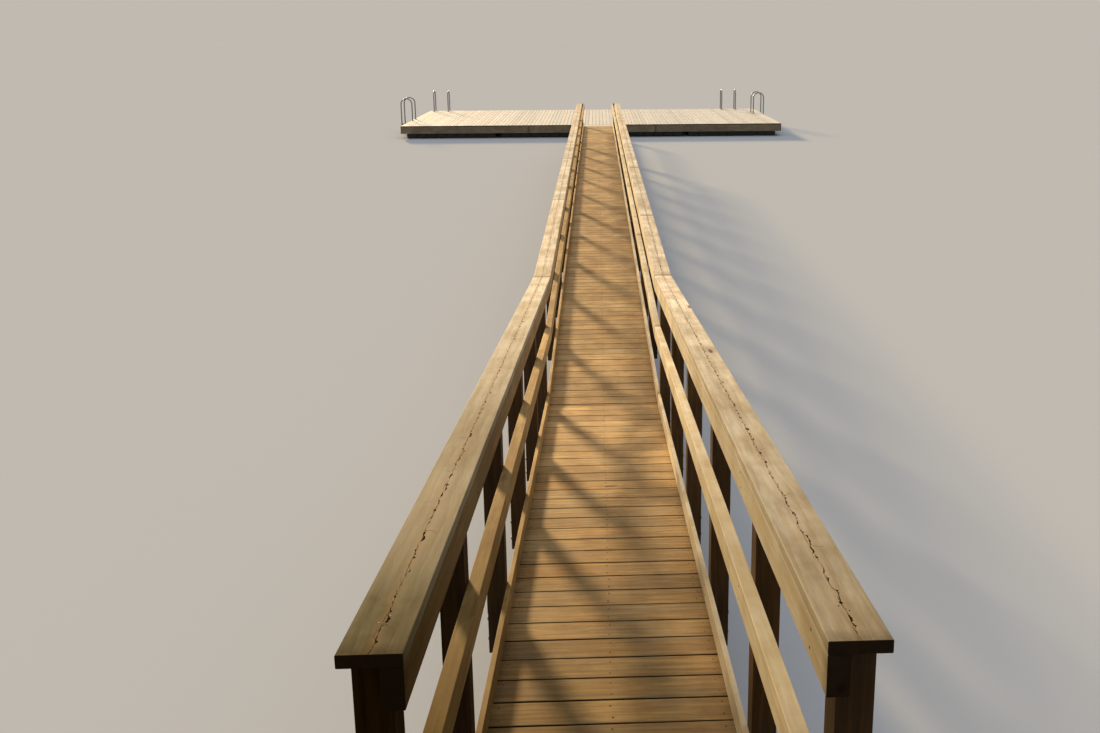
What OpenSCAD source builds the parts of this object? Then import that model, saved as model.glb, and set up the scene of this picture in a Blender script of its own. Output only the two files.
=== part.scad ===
// Wooden jetty: a sloping ramp from the bank, a level walkway on piles, a gangway with low
// rails, and a floating platform across its end with four hooped swim ladders.
// Y runs out over the water, X to the right seen from the bank, Z up.
// The origin lies on the water line, at the foot of the middle pile where ramp and walkway meet.

/* [Walkway] */
// Clear width between the rails
clear_w = 866; // [700:2:1400]
// Length of the ramp, measured on the level
ramp_l = 5600; // [3000:100:9000]
// Slope of the ramp, in degrees
ramp_slope = 8.1; // [0:0.1:12]
// Railing bays of the ramp
ramp_bays = 5; // [2:1:8]
// Railing bays of the level walkway
level_bays = 10; // [4:1:20]
// Length of one railing bay of the level walkway
level_bay = 1700; // [1200:10:2400]
// Height of the level deck above the water
deck_h = 420; // [300:10:900]
// Length of the gangway that bridges to the floating platform
gangway_l = 5300; // [2000:50:7000]

/* [Timber] */
// Thickness of the deck boards
deck_t = 28; // [20:1:45]
// Width of a stringer
stringer_w = 48; // [38:1:75]
// Depth of a stringer
stringer_h = 198; // [120:1:260]
// Side of a square post
post_w = 87; // [70:1:120]
// How far the ramp's first posts stand back from its end
post_back = 100; // [0:5:300]
// Thickness of the top and middle rail boards
board_t = 50; // [18:1:60]
// Height of the top and middle rail boards
board_h = 100; // [70:1:150]
// Thickness of the kick rail
kick_t = 23; // [18:1:45]
// Height of the kick rail
kick_h = 100; // [50:1:120]
// Width of the flat cap board
cap_w = 137; // [100:1:200]
// Thickness of the flat cap board
cap_t = 31; // [20:1:50]
// Height of the cap's upper face above the deck
rail_h = 1143; // [900:1:1200]
// Height of the middle rail's upper edge above the deck
mid_h = 700; // [400:5:800]
// Height of the gangway's low posts above the deck
low_post_h = 735; // [420:5:900]

/* [Supports] */
// Side of a square crosshead
crosshead_w = 98; // [75:1:150]
// Length of a crosshead
crosshead_l = 1300; // [1100:10:1800]
// Diameter of a pile
pile_d = 160; // [120:5:250]
// Railing bays between one row of piles and the next
bays_per_pile = 2; // [1:1:4]

/* [Platform] */
// Width of the floating platform
platform_w = 12500; // [6000:100:16000]
// Depth of the floating platform
platform_d = 5450; // [3000:50:8000]
// How far the platform's middle lies to the left of the walkway
platform_shift = 195; // [0:5:1500]
// Width of the flat edge boards at the platform's two ends
edge_w = 140; // [90:5:200]
// Height of the fascia board
fascia_h = 225; // [150:5:300]
// Thickness of the fascia board
fascia_t = 28; // [20:1:45]
// How far the floats stand back from the platform's edge
float_inset = 160; // [50:10:400]
// Floats along the platform's width
float_columns = 4; // [2:1:8]
// Floats along the platform's depth
float_rows = 2; // [1:1:4]

/* [Ladders] */
// Diameter of the ladder tube
tube_d = 40; // [30:1:60]
// Width of a hoop
hoop_w = 370; // [300:10:600]
// Height of a hoop above the deck
hoop_h = 780; // [600:10:1100]
// Distance between a ladder's two hoops
hoop_gap = 530; // [400:10:800]
// Treads on each ladder
tread_n = 2; // [1:1:3]
// Front left ladder's distance from the platform's front edge
front_left_in = 1980; // [800:10:3000]
// Right ladder's distance from the platform's front edge
right_in = 3680; // [800:10:4500]
// Back left ladder's distance from the platform's left end
back_left_in = 470; // [450:10:3000]
// Back right ladder's distance from the platform's right end
back_right_in = 1020; // [450:10:3000]

/* [Hidden] */
walkway_l = level_bays * level_bay;
level_l = walkway_l + gangway_l;
rail_in = clear_w / 2;
frame_half = rail_in + board_t;
post_x = frame_half + post_w / 2;
cap_in = frame_half + post_w - cap_w;
cap_under = rail_h - cap_t;
stringer_top = -deck_t;
stringer_low = -deck_t - stringer_h;
crosshead_low = stringer_low - crosshead_w;
pile_x = frame_half - stringer_w / 2;
ramp_bay = ramp_l / ramp_bays;
trestle_y = [-ramp_l + crosshead_w / 2, -ramp_l / 2];
part_end = [0, ceil(level_bays / 2) * level_bay, walkway_l];
platform_y = level_l;
platform_x = -platform_shift;
platform_half = platform_w / 2;
joist_low = deck_h + stringer_low;
fascia_low = deck_h - deck_t - fascia_h;
plate_l = 450;
low_rails_end = level_l - plate_l;
bent_y = [for (i = [0 : bays_per_pile : level_bays]) i * level_bay];
bent_x = [-pile_x, 0, pile_x];
joist_n = 7;
float_gap = 180;
hoop_r = 110;
flange_d = 110;
flange_t = 8;
tread_d = 34;
tread_low = 40;
tread_pitch = 250;
leg_out = tube_d / 2 + 2;
WOOD = [0.72, 0.56, 0.34];
CAP = [0.80, 0.70, 0.52];
RAIL = [0.70, 0.53, 0.30];
PALE = [0.88, 0.83, 0.75];
DARK = [0.31, 0.27, 0.20];
BLACK = [0.12, 0.12, 0.11];
STEEL = [0.72, 0.74, 0.75];

// Height of the deck's upper face at a distance from the ramp's foot.
function deck_z(y) = deck_h + (y < 0 ? -y * tan(ramp_slope) : 0);

// A board seen from the side: it follows the deck from y0 to y1, with plumb ends.
module along(y0, y1, low, high, x, w) {
    translate([x + w / 2, 0, 0])
        rotate([90, 0, -90])
            linear_extrude(w)
                polygon([
                    [-y0, deck_z(y0) + low], [-y1, deck_z(y1) + low],
                    [-y1, deck_z(y1) + high], [-y0, deck_z(y0) + high]
                ]);
}

// A block centred on x, standing on z, with its near face at y.
module block(x, y, z, w, d, h) {
    translate([x - w / 2, y, z]) cube([w, d, h]);
}

// Stringers: one under each edge and one on the centre line.
module stringers(y0, y1) {
    for (x = bent_x)
        along(y0, y1, stringer_low, stringer_top, x, stringer_w);
}

module post(side, y, top) {
    foot = deck_z(y) + stringer_low;
    head = deck_z(y + (y < 0 ? post_w / 2 : 0)) + top;
    block(side * post_x, y - post_w / 2, foot, post_w, post_w, head - foot);
}

module ramp_posts(side) {
    color(WOOD)
        for (i = [0 : ramp_bays - 1])
            post(side, -ramp_l + (i == 0 ? post_back + post_w / 2 : i * ramp_bay), cap_under);
}

module walkway_posts(side) {
    color(WOOD)
        for (i = [0 : level_bays])
            post(side, i * level_bay + (i == 0 ? post_w / 2 : i == level_bays ? -post_w / 2 : 0), cap_under);
}

// The gangway has low posts at its two ends only.
module gangway_posts() {
    color(WOOD)
        for (side = [-1, 1], y = [walkway_l + post_w / 2, low_rails_end - post_w / 2])
            post(side, y, low_post_h);
}

module rail(y0, y1, low, high, side) {
    color(RAIL) along(y0, y1, low, high, side * (rail_in + board_t / 2), board_t);
}

module top_rail(y0, y1, side) rail(y0, y1, cap_under - board_h, cap_under, side);
module mid_rail(y0, y1, side) rail(y0, y1, mid_h - board_h, mid_h, side);

module kick_rails(y0, y1) {
    color(RAIL)
        for (side = [-1, 1])
            along(y0, y1, 0, kick_h, side * (frame_half - kick_t / 2), kick_t);
}

module cap(y0, y1, side) {
    color(CAP) along(y0, y1, cap_under, rail_h, side * (cap_in + cap_w / 2), cap_w);
}

module deck(y0, y1) {
    color(WOOD) along(y0, y1, -deck_t, 0, 0, 2 * frame_half);
}

// Board and plate that bridge from the fixed walkway to the floating platform.
module transition_plate() {
    color(PALE) along(level_l - plate_l, level_l, -deck_t, 0, 0, 2 * frame_half);
}

// Where a crosshead's underside lies: its far upper edge meets the stringers.
function head_low(y) = deck_z(y < 0 ? y + crosshead_w / 2 : 0) + crosshead_low;

module crosshead(y) {
    block(0, y - crosshead_w / 2, head_low(y), crosshead_l, crosshead_w, crosshead_w);
}

module crossheads() {
    color(WOOD)
        for (y = concat(trestle_y, bent_y)) crosshead(y);
}

module piles() {
    color(WOOD)
        for (y = bent_y, x = bent_x)
            translate([x, y, 0]) cylinder(h = head_low(y), d = pile_d, $fn = 24);
}

// Square legs carry the ramp at the bank and half way down.
module shore_legs() {
    color(WOOD)
        for (y = trestle_y, x = [-pile_x, pile_x])
            block(x, y - crosshead_w / 2, 0, crosshead_w, crosshead_w, head_low(y));
}

module platform_deck() {
    color(PALE)
        block(platform_x, platform_y, deck_h - deck_t, platform_w - 2 * edge_w, platform_d, deck_t);
}

module platform_edge_boards() {
    color(DARK)
        for (side = [-1, 1])
            block(platform_x + side * (platform_half - edge_w / 2), platform_y, deck_h - deck_t,
                  edge_w, platform_d, deck_t);
}

// Fascia boards right round the platform, under the deck's edge.
module platform_fascias_long() {
    color(DARK)
        for (y = [platform_y, platform_y + platform_d - fascia_t])
            block(platform_x, y, fascia_low, platform_w, fascia_t, fascia_h);
}

module platform_fascias_short() {
    color(DARK)
        for (side = [-1, 1])
            block(platform_x + side * (platform_half - fascia_t / 2), platform_y + fascia_t, fascia_low,
                  fascia_t, platform_d - 2 * fascia_t, fascia_h);
}

module platform_joists() {
    inner_d = platform_d - 2 * fascia_t;
    pitch = (inner_d - stringer_w) / (joist_n - 1);
    color(WOOD)
        for (i = [0 : joist_n - 1])
            block(platform_x, platform_y + fascia_t + i * pitch, joist_low,
                  platform_w - 2 * fascia_t, stringer_w, stringer_h);
}

module floats() {
    span_x = platform_w - 2 * float_inset;
    span_y = platform_d - 2 * float_inset;
    w = (span_x - (float_columns - 1) * float_gap) / float_columns;
    d = (span_y - (float_rows - 1) * float_gap) / float_rows;
    color(BLACK)
        for (i = [0 : float_columns - 1], j = [0 : float_rows - 1])
            block(platform_x - span_x / 2 + w / 2 + i * (w + float_gap),
                  platform_y + float_inset + j * (d + float_gap), 0, w, d, joist_low);
}

// One hoop in the XZ plane: the inner leg stands on the deck at x = -hoop_w, the outer leg
// goes down into the water at x = 0.
module hoop() {
    top = deck_h + hoop_h - tube_d / 2;
    bend = top - hoop_r;
    translate([-hoop_w, 0, deck_h]) cylinder(h = bend - deck_h, d = tube_d, $fn = 20);
    translate([-hoop_w, 0, deck_h]) cylinder(h = flange_t, d = flange_d, $fn = 20);
    cylinder(h = bend, d = tube_d, $fn = 20);
    translate([hoop_r - hoop_w, 0, top]) rotate([0, 90, 0])
        cylinder(h = hoop_w - 2 * hoop_r, d = tube_d, $fn = 20);
    for (inner = [0, 1])
        translate([inner ? hoop_r - hoop_w : -hoop_r, 0, bend]) rotate([90, 0, 0]) rotate([0, 0, inner * 90])
            rotate_extrude(angle = 90, $fn = 20) translate([hoop_r, 0]) circle(d = tube_d, $fn = 20);
}

// Where each ladder's outer legs stand, and which way the ladder faces.
front_left = [platform_x - platform_half + flange_d / 2 - hoop_w, platform_y + front_left_in, 180];
back_left = [platform_x - platform_half + back_left_in, platform_y + platform_d + leg_out, 90];
right = [platform_x + platform_half + leg_out, platform_y + right_in, 0];
back_right = [platform_x + platform_half - back_right_in, platform_y + platform_d + leg_out, 90];

module at(place) {
    translate([place[0], place[1], 0]) rotate([0, 0, place[2]]) children();
}

module ladder(place) {
    color(STEEL)
        at(place)
            for (y = [-hoop_gap / 2, hoop_gap / 2]) translate([0, y, 0]) hoop();
}

// Round treads between the outer legs, coped to fit them.
module ladder_treads() {
    color(STEEL)
        for (place = [front_left, back_left, right, back_right]) at(place)
            for (i = [0 : tread_n - 1])
                translate([0, 0, tread_low + i * tread_pitch]) difference() {
                    translate([0, -hoop_gap / 2, 0]) rotate([-90, 0, 0])
                        cylinder(h = hoop_gap, d = tread_d, $fn = 16);
                    for (y = [-hoop_gap / 2, hoop_gap / 2])
                        translate([0, y, -tread_d]) cylinder(h = 2 * tread_d, d = tube_d, $fn = 20);
                }
}

deck(-ramp_l, 0);  // ramp_deck
color(WOOD) stringers(-ramp_l, 0);  // ramp_stringers
deck(part_end[0], part_end[1]);  // walkway_deck_near
deck(part_end[1], part_end[2]);  // walkway_deck_far
color(WOOD) stringers(part_end[0], part_end[1]);  // walkway_stringers_near
color(WOOD) stringers(part_end[1], part_end[2]);  // walkway_stringers_far
deck(walkway_l, low_rails_end);  // gangway_deck
color(WOOD) stringers(walkway_l, level_l);  // gangway_stringers
gangway_posts();
for (side = [-1, 1]) mid_rail(walkway_l, low_rails_end, side);  // gangway_mid_rails
kick_rails(walkway_l, low_rails_end);  // gangway_kick_rails
transition_plate();
ramp_posts(-1);  // ramp_posts_left
ramp_posts(1);  // ramp_posts_right
walkway_posts(-1);  // walkway_posts_left
walkway_posts(1);  // walkway_posts_right
cap(-ramp_l, 0, -1);  // ramp_cap_left
cap(-ramp_l, 0, 1);  // ramp_cap_right
cap(0, walkway_l, -1);  // walkway_cap_left
cap(0, walkway_l, 1);  // walkway_cap_right
top_rail(-ramp_l, 0, -1);  // ramp_top_rail_left
top_rail(-ramp_l, 0, 1);  // ramp_top_rail_right
top_rail(0, walkway_l, -1);  // walkway_top_rail_left
top_rail(0, walkway_l, 1);  // walkway_top_rail_right
mid_rail(-ramp_l, 0, -1);  // ramp_mid_rail_left
mid_rail(-ramp_l, 0, 1);  // ramp_mid_rail_right
mid_rail(0, walkway_l, -1);  // walkway_mid_rail_left
mid_rail(0, walkway_l, 1);  // walkway_mid_rail_right
kick_rails(-ramp_l, 0);  // ramp_kick_rails
kick_rails(0, walkway_l);  // walkway_kick_rails
crossheads();
piles();
shore_legs();
platform_deck();
platform_edge_boards();
platform_fascias_long();
platform_fascias_short();
platform_joists();
floats();
ladder(front_left);  // ladder_front_left
ladder(back_left);  // ladder_back_left
ladder(right);  // ladder_right
ladder(back_right);  // ladder_back_right
ladder_treads();
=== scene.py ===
"""Wooden jetty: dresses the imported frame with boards, rails, floats and ladders, in metres."""
import functools
import math
import random

import bpy
from mathutils import Matrix, Vector


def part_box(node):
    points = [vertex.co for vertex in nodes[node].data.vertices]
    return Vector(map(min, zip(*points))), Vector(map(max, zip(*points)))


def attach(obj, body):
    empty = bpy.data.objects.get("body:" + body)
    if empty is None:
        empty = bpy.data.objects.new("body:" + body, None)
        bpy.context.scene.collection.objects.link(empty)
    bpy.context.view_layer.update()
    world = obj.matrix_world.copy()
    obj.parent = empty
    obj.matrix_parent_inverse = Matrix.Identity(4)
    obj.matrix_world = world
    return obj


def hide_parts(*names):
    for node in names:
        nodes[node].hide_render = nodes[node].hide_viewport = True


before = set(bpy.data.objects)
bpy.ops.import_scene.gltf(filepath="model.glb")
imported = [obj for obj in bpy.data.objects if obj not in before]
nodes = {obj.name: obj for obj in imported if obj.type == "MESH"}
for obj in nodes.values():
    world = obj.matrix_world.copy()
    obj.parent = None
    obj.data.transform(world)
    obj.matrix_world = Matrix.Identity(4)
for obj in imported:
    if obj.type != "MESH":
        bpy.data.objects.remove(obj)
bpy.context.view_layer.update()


# Camera: above and behind the ramp's upper end, looking out along the walkway. It was fitted to
# points of the jetty measured on the photograph's 1100 by 733 pixels.
PHOTO_W = 1100
PHOTO_MID_X = 550
PHOTO_MID_Y = 366.5
FOCAL_PX = 900
CENTRE_X_PX = 630       # the pixel that the lens points at
CENTRE_Y_PX = 200
CAMERA_AT = Vector((-0.029, -7.223, 3.601))
YAW = 0.036             # radians to the right
PITCH = 0.191           # radians down
ROLL = 0.004            # radians
SENSOR_MM = 36.0
NEAREST = 0.05
FARTHEST = 400


def make_camera():
    data = bpy.data.cameras.new("camera")
    data.sensor_width = SENSOR_MM
    data.lens = FOCAL_PX / PHOTO_W * SENSOR_MM
    data.shift_x = (PHOTO_MID_X - CENTRE_X_PX) / PHOTO_W
    data.shift_y = (CENTRE_Y_PX - PHOTO_MID_Y) / PHOTO_W
    data.clip_start = NEAREST
    data.clip_end = FARTHEST
    camera = bpy.data.objects.new("camera", data)
    turn = Matrix.Rotation(-YAW, 4, "Z") @ Matrix.Rotation(math.pi / 2 - PITCH, 4, "X")
    camera.matrix_world = Matrix.Translation(CAMERA_AT) @ turn @ Matrix.Rotation(-ROLL, 4, "Z")
    bpy.context.collection.objects.link(camera)
    bpy.context.scene.camera = camera


make_camera()


# Floor and backdrop: plain and pale, with the floor at the feet of the piles. A low warm key shines
# from beyond the platform on the left, as evening light does, and a broad cool fill from above.
FLOOR_COLOUR = "#B4B9BE"
FLOOR_REACH = 160
BACKDROP_COLOUR = "#C1BAB1"
WORLD_COLOUR = "#E4E4E2"
WORLD_STRENGTH = 0.46
LAMPS = (  # name, colour, strength, then spread, heading and height in degrees
    ("key", "#FFDDA6", 6.0, 7.0, -23.5, 16),
    ("fill", "#F4F4FF", 0.95, 90, 180, 86),
)


def linear(hexcolour):
    """An sRGB colour such as #C9A777 as linear RGBA."""
    parts = [int(hexcolour[i:i + 2], 16) / 255 for i in (1, 3, 5)]
    return [c / 12.92 if c <= 0.04045 else ((c + 0.055) / 1.055) ** 2.4 for c in parts] + [1.0]


def add_node(tree, kind, settings=None, stops=(), **inputs):
    """Adds a shader node with its settings, ramp stops, links and values; gives its first live output.

    An input is named after its socket, with _ for a space, or after its place, such as i0. A stop is a
    place and a hex colour or a grey."""
    node = tree.nodes.new("ShaderNode" + kind)
    for name, value in (settings or {}).items():
        setattr(node, name, value)
    if stops:
        elements = node.color_ramp.elements
        while len(elements) < len(stops):
            elements.new(0.5)
        for element, (spot, colour) in zip(elements, stops):
            element.position = spot
            element.color = linear(colour) if isinstance(colour, str) else (colour, colour, colour, 1)
    for name, value in inputs.items():
        key = int(name[1:]) if name[0] == "i" and name[1:].isdigit() else name.replace("_", " ")
        if isinstance(value, bpy.types.NodeSocket):
            tree.links.new(value, node.inputs[key])
        else:
            node.inputs[key].default_value = value
    return next((output for output in node.outputs if output.enabled), None)


def new_material(name):
    """An empty material, and add_node for its tree."""
    material = bpy.data.materials.new(name)
    material.use_nodes = True
    material.node_tree.nodes.clear()
    return material, functools.partial(add_node, material.node_tree)


def make_floor():
    """A sheet of matt paint: pale, so that shadows show on it, and without any shine."""
    mesh = bpy.data.meshes.new("floor")
    corners = [(x * FLOOR_REACH, y * FLOOR_REACH, 0) for x, y in ((-1, -1), (1, -1), (1, 1), (-1, 1))]
    mesh.from_pydata(corners, [], [(0, 1, 2, 3)])
    floor = bpy.data.objects.new("floor", mesh)
    bpy.context.collection.objects.link(floor)
    material, node = new_material("pale_floor")
    node("OutputMaterial", Surface=node("BsdfPrincipled", Base_Color=linear(FLOOR_COLOUR), Roughness=1.0,
                                        Specular_IOR_Level=0.0))
    mesh.materials.append(material)


def make_backdrop():
    """A world that lights softly, and that the camera and the steel see as pale as the floor."""
    world = bpy.data.worlds.new("studio")
    bpy.context.scene.world = world
    world.use_nodes = True
    world.node_tree.nodes.clear()
    node = functools.partial(add_node, world.node_tree)
    rays = node("LightPath").node.outputs
    seen = node("Math", {"operation": "ADD"}, i0=rays["Is Camera Ray"], i1=rays["Is Glossy Ray"])
    seen = node("Math", {"operation": "ADD", "use_clamp": True}, i0=seen, i1=rays["Is Transmission Ray"])
    light = node("Background", Color=linear(WORLD_COLOUR), Strength=WORLD_STRENGTH)
    backdrop = node("Background", Color=linear(BACKDROP_COLOUR), Strength=1.0)
    node("OutputWorld", Surface=node("MixShader", i0=seen, i1=light, i2=backdrop))


def make_lamps():
    for name, colour, strength, spread, heading, height in LAMPS:
        data = bpy.data.lights.new(name, "SUN")
        data.color = linear(colour)[:3]
        data.energy = strength
        data.angle = math.radians(spread)
        lamp = bpy.data.objects.new(name, data)
        a, e = math.radians(heading), math.radians(height)
        source = Vector((math.sin(a) * math.cos(e), math.cos(a) * math.cos(e), math.sin(e)))
        lamp.rotation_euler = source.to_track_quat("Z", "Y").to_euler()
        bpy.context.collection.objects.link(lamp)


bpy.context.scene.view_settings.view_transform = "Standard"
make_floor()
make_backdrop()
make_lamps()


# Substructure: sawn pine piles and shore legs, crossheads bolted across them, and stringers on edge
# from crosshead to crosshead. Most of it is out of sight, so the CAD pieces stay and get sawn wood.
KNOT_SHARE = 0.55       # how many of the knot cells hold one where knots is 1
KNOT_PUSH = 0.05        # how far a knot pushes the grain aside
GRAIN_SWAY = 0.075      # how far the grain wanders across a board
RING_MM = 39            # between growth rings where the saw cut them flat
WAVE_M = math.tau / 20  # between the wave texture's bands at a scale of 1
RING_SHARE = 0.18       # what rings and streaks add to the late wood
STREAK_SHARE = 0.95
CHECK_HALF = 0.0050     # half the width of a drying check's pit
CHECK_SIDE = 0.12       # twice the length of the longest crack to one side
TREE_SHADE_FADE = 1 / 5.6     # what the painted tree shade gains per metre up the ramp
TREE_SHADE_START = 0.9        # metres from the kink at which it starts
TREE_SHADE_LEAN = 1.5         # metres further out per metre to the left
TREE_SHADE_PATCHY = 1.4       # metres by which its patches reach out
PLUS = {"operation": "ADD"}
MINUS = {"operation": "SUBTRACT"}
TIMES = {"operation": "MULTIPLY"}
TIMES_PLUS = {"operation": "MULTIPLY_ADD"}
OVER = {"operation": "DIVIDE"}
LARGER = {"operation": "MAXIMUM"}
UNSIGNED = {"operation": "ABSOLUTE"}
MIX = {"data_type": "RGBA", "blend_type": "MIX"}
TINT = {"data_type": "RGBA", "blend_type": "MULTIPLY"}
SOFT = {"data_type": "RGBA", "blend_type": "SOFT_LIGHT"}


def per_metre(*sizes_mm):
    """How often a pattern repeats in a metre, to two digits, from its sizes in millimetres."""
    repeats = [float("%.2g" % (1000 / size)) for size in sizes_mm]
    return repeats if len(repeats) > 1 else repeats[0]


def knot_marks(node, grain, knots):
    """Where knots push the grain aside, and their dark cores, about 20 mm wide and 85 mm long."""
    cells = node("TexVoronoi", Vector=node("Mapping", Vector=grain, Scale=per_metre(714, 182, 182)),
                 Scale=1.0, Randomness=1.0)
    chance = node("SeparateColor", Color=cells.node.outputs["Color"])
    there = node("Math", {"operation": "LESS_THAN"}, i0=chance, i1=knots * KNOT_SHARE)
    aside = node("ValToRGB", Fac=cells, stops=((0.0, 1.0), (0.22, 0.0)))
    core = node("ValToRGB", Fac=cells, stops=((0.045, 1.0), (0.075, 0.0)))
    return node("Math", TIMES, i0=aside, i1=there), node("Math", TIMES, i0=core, i1=there)


def growth_figure(node, grain, near_knot):
    """Late wood and fibres, each from 0 to 1.

    Growth rings lie 39 mm apart where the saw cut them flat, and streaks are 18 mm wide and 0.3 m long.
    Fibres are drawn 1.4 mm wide, coarser than real ones, so that they show."""
    sway = node("TexNoise", Vector=node("Mapping", Vector=grain, Scale=per_metre(1820, 500, 500)),
                Scale=1.0, Detail=2.0, Roughness=0.6)
    shift = node("Math", PLUS, i0=node("Math", TIMES, i0=sway, i1=GRAIN_SWAY),
                 i1=node("Math", TIMES, i0=near_knot, i1=KNOT_PUSH))
    moved = node("VectorMath", PLUS, i0=grain, i1=node("CombineXYZ", Y=shift))
    rings = node("TexWave", {"bands_direction": "Y", "wave_profile": "SAW"},
                 Vector=node("Mapping", Vector=moved, Scale=(0.25, 1.0, 1.0)),
                 Scale=round(1000 * WAVE_M / RING_MM), Distortion=5.0, Detail=2.0,
                 Detail_Scale=1.5).node.outputs["Fac"]
    streaks = node("TexNoise", Vector=node("Mapping", Vector=moved, Scale=per_metre(286, 18.2, 18.2)),
                   Scale=1.0, Detail=5.0, Roughness=0.62)
    fibres = node("TexNoise", Vector=node("Mapping", Vector=grain, Scale=per_metre(71, 1.43, 1.43)),
                  Scale=1.0, Detail=3.0, Roughness=0.6)
    late = node("Math", PLUS, i0=node("Math", TIMES, i0=rings, i1=RING_SHARE),
                i1=node("Math", TIMES, i0=streaks, i1=STREAK_SHARE))
    return late, fibres


def painted_tree_shade(node, in_place, place_on):
    """Painted shade of trees, an olive darkening: patchy, high on the ramp, more on the left and nearly gone
    at the kink.
    """
    cloud = node("TexNoise", Vector=in_place, Scale=per_metre(625), Detail=5.0, Roughness=0.65)
    tree_shade = node("Math", TIMES_PLUS, i0=place_on["Y"], i1=-TREE_SHADE_FADE,
                i2=-(TREE_SHADE_START + TREE_SHADE_PATCHY) * TREE_SHADE_FADE)
    tree_shade = node("Math", TIMES_PLUS, i0=place_on["X"], i1=-TREE_SHADE_LEAN * TREE_SHADE_FADE, i2=tree_shade)
    return node("Math", {"operation": "MULTIPLY_ADD", "use_clamp": True}, i0=cloud,
                i1=2 * TREE_SHADE_PATCHY * TREE_SHADE_FADE, i2=tree_shade)


def drying_checks(node, grain, middle):
    """Drying checks along the pith of a board.

    Two hair cracks wander and cross in its middle and open into pits 10 mm wide. From some places a
    crack runs out to one side."""
    parts = node("SeparateXYZ", Vector=grain).node.outputs
    crack = 0.0
    for row, wave_mm, sideways in ((0.0, 143, 0.034), (5.3, 77, 0.060)):
        line_at = node("CombineXYZ", X=parts["X"], Y=row)
        wander = node("TexNoise", Vector=line_at, Scale=per_metre(wave_mm), Detail=3.0, Roughness=0.6)
        wander = node("Math", TIMES, i0=node("Math", MINUS, i0=wander, i1=0.5), i1=sideways)
        off = node("Math", UNSIGNED, i0=node("Math", MINUS, i0=middle, i1=wander))
        swell = node("TexNoise", Vector=line_at, Scale=per_metre(38.5), Detail=3.0, Roughness=0.6)
        half = node("ValToRGB", Fac=swell, stops=((0.38, 0.08), (0.54, 0.2), (0.66, 1.0)))
        half = node("Math", TIMES, i0=half, i1=CHECK_HALF)
        line = node("ValToRGB", Fac=node("Math", OVER, i0=off, i1=half), stops=((0.6, 1.0), (1.0, 0.0)))
        dark = node("ValToRGB", Fac=swell, stops=((0.36, 0.25), (0.58, 1.0)))
        crack = node("Math", LARGER, i0=node("Math", TIMES, i0=line, i1=dark), i1=crack)
    slow = node("Math", TIMES, i0=parts["X"], i1=0.05)
    bend = node("TexNoise", Vector=node("CombineXYZ", X=slow, Y=parts["Y"]), Scale=per_metre(28),
                Detail=3.0, Roughness=0.6)
    across = node("Math", TIMES_PLUS, i0=bend, i1=0.08, i2=parts["X"])
    branch = node("TexVoronoi", {"voronoi_dimensions": "1D"}, W=across, Scale=per_metre(385),
                  Randomness=1.0)
    side = node("Math", MINUS, i0=node("SeparateColor", Color=branch.node.outputs["Color"]), i1=0.5)
    reach = node("Math", OVER, i0=middle, i1=node("Math", TIMES, i0=side, i1=CHECK_SIDE))
    reach = node("ValToRGB", Fac=reach, stops=((0.0, 0.0), (0.01, 1.0), (0.4, 0.8), (1.0, 0.0)))
    branch = node("ValToRGB", Fac=branch, stops=((0.002, 0.7), (0.006, 0.0)))
    return node("Math", LARGER, i0=crack, i1=node("Math", TIMES, i0=branch, i1=reach))


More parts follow.
